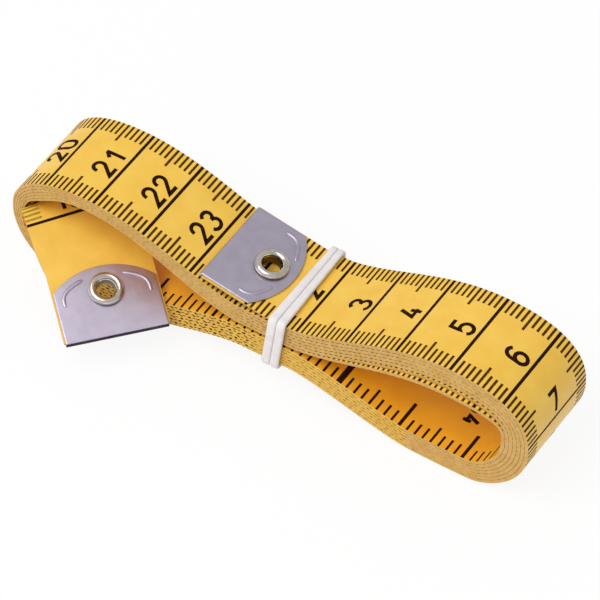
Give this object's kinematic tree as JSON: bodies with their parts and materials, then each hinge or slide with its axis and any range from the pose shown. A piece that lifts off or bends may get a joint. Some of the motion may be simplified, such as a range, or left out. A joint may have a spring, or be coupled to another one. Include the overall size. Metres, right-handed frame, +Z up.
{
  "type": "cloth tape measure",
  "caption": "Flexible printed cloth tape measure wound into a flattened roll, with folded metal tips, eyelets and a rubber band round its waist.",
  "frame": {"origin": "on the surface that the roll lies on, under the middle of the whole object's box", "axes": "+X along the roll towards the loop without a tip, +Y across the tape away from the inner tip, +Z up"},
  "size_m": [0.1, 0.0354, 0.0244],
  "materials": {
    "tape_cloth": "coated glass cloth, satin, printed in black",
    "tip_steel": "plain bright sheet",
    "eyelet_nickel": "bright nickel plate",
    "band_rubber": "pale translucent, satin"
  },
  "bodies": {
    "roll": {"tape_winding": "tape_cloth"},
    "outer_end": {"tape_outer_end": "tape_cloth", "outer_tip_clip": "tip_steel", "outer_tip_eyelet": "eyelet_nickel"},
    "inner_end": {"tape_inner_end": "tape_cloth", "inner_tip_clip": "tip_steel", "inner_tip_eyelet": "eyelet_nickel"},
    "band": {"rubber_band": "band_rubber"}
  },
  "joints": [
    {"name": "outer_end_lift", "type": "hinge", "parent": "roll", "child": "outer_end", "pos_m": [-0.00009, 0.00743, 0.01555], "axis": [0, 1, 0], "range_deg": [0, 60], "stiffness_Nm_per_rad": 0.002},
    {"name": "inner_end_lift", "type": "hinge", "parent": "roll", "child": "inner_end", "pos_m": [-0.03208, -0.00288, 0.01025], "axis": [-0.6639, -0.7478, 0], "range_deg": [0, 35], "stiffness_Nm_per_rad": 0.002},
    {"name": "band_slide", "type": "slide", "parent": "roll", "child": "band", "axis": [1, 0, 0], "range_m": [0, 0.0015]}
  ]
}
